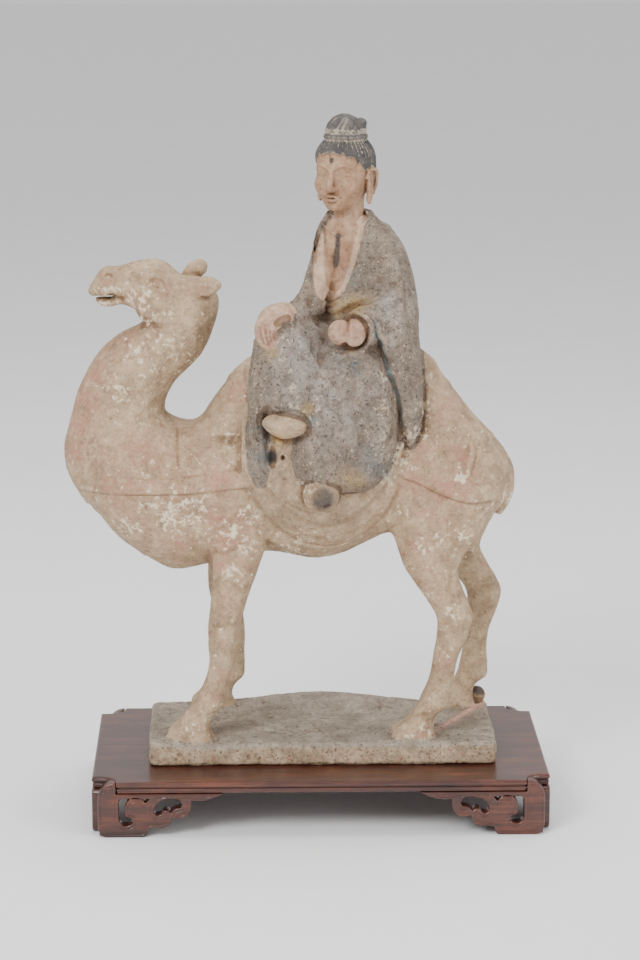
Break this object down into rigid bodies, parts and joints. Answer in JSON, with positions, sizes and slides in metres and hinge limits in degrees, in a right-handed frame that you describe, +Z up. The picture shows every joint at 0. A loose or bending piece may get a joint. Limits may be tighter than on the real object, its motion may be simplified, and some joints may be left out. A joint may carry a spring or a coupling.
{
  "type": "terracotta camel rider figure",
  "caption": "Painted terracotta camel with a seated robed rider on a clay slab, resting on a carved hardwood stand with openwork scroll feet.",
  "frame": {"origin": "centre of the bounding box in plan, on the surface that the stand's feet rest on", "axes": "+Z up; the camel faces -X; the rider faces -Y, which is the front"},
  "size_m": [0.3404, 0.189, 0.4985],
  "materials": {
    "terracotta": "matt fired clay with worn cream slip, red and dark traces of paint",
    "hardwood": "polished dark reddish brown"
  },
  "bodies": {
    "root": {"figure": "terracotta", "stand_board": "hardwood", "stand_foot_front_left": "hardwood", "stand_foot_front_right": "hardwood", "stand_foot_back_left": "hardwood", "stand_foot_back_right": "hardwood"}
  },
  "joints": []
}
